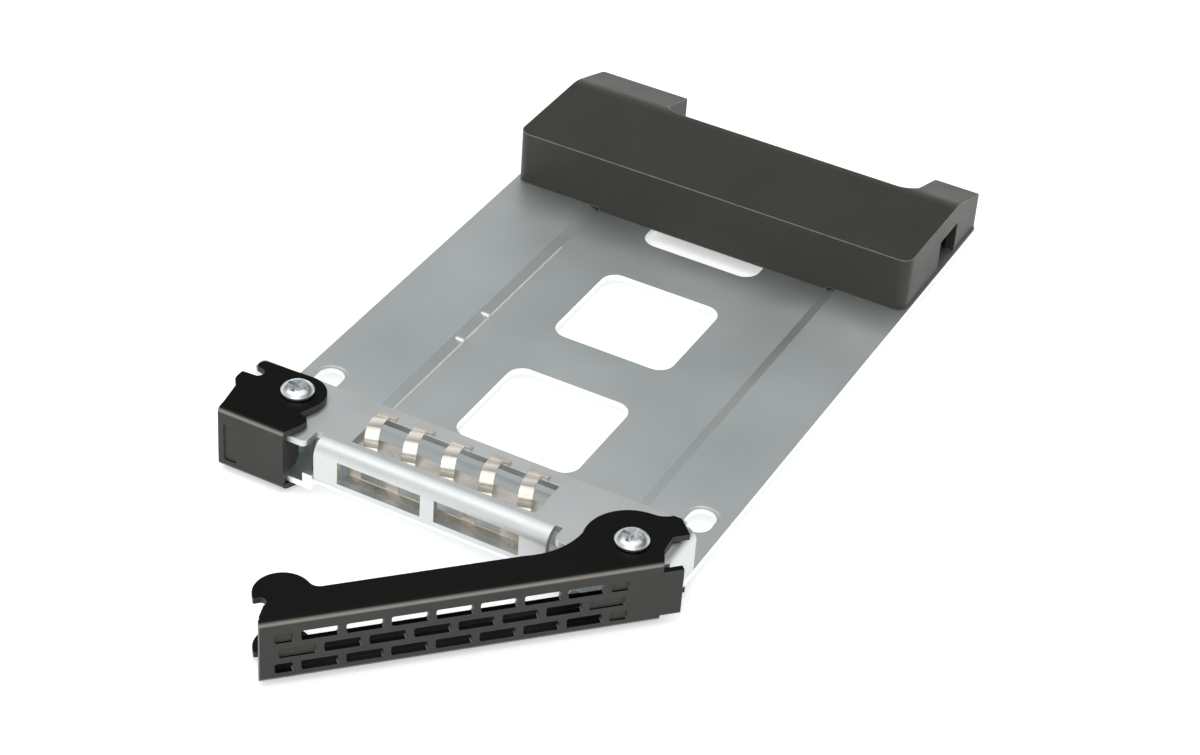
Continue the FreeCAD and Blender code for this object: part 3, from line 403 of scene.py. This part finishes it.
@dataclass
class Studio:
    """Plain pale floor, a bright horizon under a greyer sky, two soft lamps and the camera."""

    eye: tuple[float, float, float] = (0.1563, -0.2743, 0.2583)
    tilt_deg: float = 53.784
    lean_deg: float = -3.528
    turn_deg: float = 28.270
    lens: float = 87.974
    sensor_width: float = 36.0
    nearest: float = 0.01
    floor_radius: float = 4.0
    floor_sides: int = 64
    floor_gap: float = 0.05 * MM
    floor_colour: str = "#F6F6F5"
    floor_glow: float = 0.45
    front_level: float = 0.65
    rear_level: float = 0.1
    turn_to_rear: float = 0.3
    horizon_top: float = 0.2
    dome_base: float = 0.45
    lamps: tuple[Lamp, ...] = (Lamp("overhead_lamp", (-0.15, 0.1, 1.15), 1.6, 8.7),
                               Lamp("front_lamp", (0.3, -1.25, 0.7), 1.5, 5.5))
    aim: tuple[float, float, float] = (0.0, 0.04, 0.0)

    def build(self) -> None:
        """Sets the camera, the floor, the sky and the lamps."""
        self.make_camera()
        self.make_floor()
        self.make_sky()
        for lamp in self.lamps:
            lamp.hang(Vector(self.aim))
        bpy.context.scene.view_settings.view_transform = "Standard"
        log.info("studio is set")

    def make_camera(self) -> None:
        """Makes the camera and sets it as the scene's own."""
        data = bpy.data.cameras.new("view")
        data.sensor_width = self.sensor_width
        data.lens = self.lens
        data.clip_start = self.nearest
        camera = bpy.data.objects.new("view", data)
        camera.location = self.eye
        camera.rotation_euler = tuple(math.radians(turn) for turn in
                                      (self.tilt_deg, self.lean_deg, self.turn_deg))
        bpy.context.scene.collection.objects.link(camera)
        bpy.context.scene.camera = camera

    def make_floor(self) -> None:
        """Lays the floor under the caddy's lowest point."""
        shape = bmesh.new()
        bmesh.ops.create_circle(shape, cap_ends=True, segments=self.floor_sides,
                                radius=self.floor_radius)
        floor = place_shape("floor", shape)
        floor.location = (0.0, 0.0, cad_box[0][2] - self.floor_gap)
        floor.data.materials.append(self.paper())

    def paper(self) -> bpy.types.Material:
        """Builds the floor's matt white paper, which keeps shadows.

        Returns:
            The material. It is a little lighter to the camera and in mirrored or passed light.
        """
        paper = bpy.data.materials.new("matt_white_paper")
        paper.use_nodes = True
        tree = paper.node_tree
        tree.nodes.clear()
        path = add(tree, "ShaderNodeLightPath")
        sheet = add(tree, "ShaderNodeBsdfDiffuse", {"Color": linear(self.floor_colour)})
        seen = add(tree, "ShaderNodeMath",
                   {0: path.outputs["Is Camera Ray"], 1: path.outputs["Is Glossy Ray"]},
                   operation="MAXIMUM")
        met = add(tree, "ShaderNodeMath",
                  {0: seen.outputs["Value"], 1: path.outputs["Is Transmission Ray"]},
                  operation="MAXIMUM")
        lift = add(tree, "ShaderNodeMath", {0: met.outputs["Value"], 1: self.floor_glow},
                   operation="MULTIPLY")
        glow = add(tree, "ShaderNodeEmission",
                   {"Color": linear("#FFFFFF"), "Strength": lift.outputs["Value"]})
        both = add(tree, "ShaderNodeAddShader",
                   {0: sheet.outputs["BSDF"], 1: glow.outputs["Emission"]})
        add(tree, "ShaderNodeOutputMaterial", {"Surface": both.outputs["Shader"]})
        return paper

    def make_sky(self) -> None:
        """Fills the world: white at the horizon, pale over the front and dim over the rear."""
        world = bpy.data.worlds.new("studio")
        bpy.context.scene.world = world
        world.use_nodes = True
        tree = world.node_tree
        tree.nodes.clear()
        toward = add(tree, "ShaderNodeTexCoord").outputs["Generated"]
        way = add(tree, "ShaderNodeSeparateXYZ", {"Vector": toward})
        dome = add(tree, "ShaderNodeMapRange",
                   {"Value": way.outputs["Y"],
                    "From Min": -self.turn_to_rear, "From Max": self.turn_to_rear,
                    "To Min": self.front_level, "To Max": self.rear_level})
        level = add(tree, "ShaderNodeMapRange",
                    {"Value": way.outputs["Z"],
                     "From Min": self.horizon_top, "From Max": self.dome_base,
                     "To Min": 1.0, "To Max": dome.outputs["Result"]})
        sky = add(tree, "ShaderNodeBackground",
                  {"Color": linear("#FFFFFF"), "Strength": level.outputs["Result"]})
        add(tree, "ShaderNodeOutputWorld", {"Surface": sky.outputs["Background"]})


@dataclass
class Tray:
    """The flat tray with its windows, its pressed channel and its drive holes."""

    ridge_x: float = -19.15 * MM
    ridge_z: float = -0.6 * MM
    ridge_front: float = 15.5 * MM
    ridge_rear: float = 73.0 * MM
    ridge_half: float = 0.2 * MM
    ridge_height: float = 0.12 * MM
    ridge_rings: int = 60
    pips: tuple[tuple[float, float], ...] = ((-19.8 * MM, 41.9 * MM), (-19.9 * MM, 49.7 * MM))
    pip_z: float = -0.44 * MM
    pip_reach: float = 0.95 * MM
    pip_half: float = 0.45 * MM
    pip_height: float = 0.36 * MM

    def build(self) -> None:
        """Dresses the tray and adds the ridge and the pips of its left crease."""
        dress(ZINC_SHEET.material(), "tray_plate")
        # The ridge and the pips are painted near white, a painted highlight along the crease.
        highlight_finish = HIGHLIGHT_ZINC.material()
        ridge = mound("crease_ridge_0", Vector((self.ridge_x, self.ridge_front, self.ridge_z)),
                      Vector((self.ridge_x, self.ridge_rear, self.ridge_z)),
                      self.ridge_half, self.ridge_height, rings=self.ridge_rings)
        fit(ridge, highlight_finish, Body.TRAY)
        reach = Vector((self.pip_reach, 0.0, 0.0))
        for number, (x, y) in enumerate(self.pips):
            middle = Vector((x, y, self.pip_z))
            pip = mound(f"crease_pip_{number}", middle - reach, middle + reach,
                        self.pip_half, self.pip_height)
            fit(pip, highlight_finish, Body.TRAY)


@dataclass
class FrontEnd:
    """The bent bracket at the front, its shielding fingers and the pivot hardware."""

    def build(self) -> None:
        """Dresses the bracket, the fingers, the posts, the screws and the spring."""
        dress(BRIGHT_SHEET.material(), "front_bracket")
        dress(TINNED_STRIP.material(), "shield_fingers")
        dress(ZINC_SCREW.material(), "lever_pivot_post", "button_pivot_post",
              "lever_pivot_screw", "button_pivot_screw", "cover_screw_left", "cover_screw_right")
        dress(DRAWN_WIRE.material(), "button_return_spring")


@dataclass
class Latch:
    """The black ejector lever and the black latch button."""

    tongue_x: float = -23.35 * MM
    tongue_sheet: float = 0.8 * MM
    tongue_front: float = -0.9 * MM
    tongue_rear: float = 3.1 * MM
    tongue_low: float = 0.35 * MM
    tongue_top: float = 5.75 * MM
    tongue_bend: float = 0.25 * MM
    bend_segments: int = 3
    nose_share: float = 0.2

    def build(self) -> None:
        """Dresses the lever and the button and adds the button's inner tongue."""
        coat = BLACK_COAT.material()
        dress(coat, "ejector_lever", "latch_button")
        tongue = self.make_tongue()
        fit(tongue, coat, Body.BUTTON)

    def make_tongue(self) -> bpy.types.Object:
        """Makes the folded tongue behind the right edge of the button's face.

        Returns:
            The tongue, with rounded edges and a tapered rear end.
        """
        nose = (self.tongue_top - self.tongue_low) * self.nose_share
        profile = [(self.tongue_front, self.tongue_low),
                   (self.tongue_rear - nose, self.tongue_low),
                   (self.tongue_rear, self.tongue_low + nose),
                   (self.tongue_rear, self.tongue_top - nose),
                   (self.tongue_rear - nose, self.tongue_top),
                   (self.tongue_front, self.tongue_top)]
        shape = bmesh.new()
        side = shape.faces.new([shape.verts.new((self.tongue_x, y, z)) for y, z in profile])
        grown = bmesh.ops.extrude_face_region(shape, geom=[side])
        moved = [item for item in grown["geom"] if isinstance(item, bmesh.types.BMVert)]
        bmesh.ops.translate(shape, verts=moved, vec=(-self.tongue_sheet, 0.0, 0.0))
        bmesh.ops.bevel(shape, geom=list(shape.edges), offset=self.tongue_bend,
                        segments=self.bend_segments, affect="EDGES")
        bmesh.ops.recalc_face_normals(shape, faces=shape.faces)
        return place_shape("button_tongue", shape)


@dataclass
class RearCover:
    """The moulded cover over the tray's rear."""

    def build(self) -> None:
        """Dresses the cover."""
        dress(MOULDED_ABS.material(), "rear_cover")


def main() -> None:
    """Builds the studio and every sub-assembly in order."""
    logging.basicConfig(level=logging.INFO, format="%(message)s")
    for part in (Studio(), Tray(), FrontEnd(), Latch(), RearCover()):
        part.build()


if __name__ == "__main__":
    main()
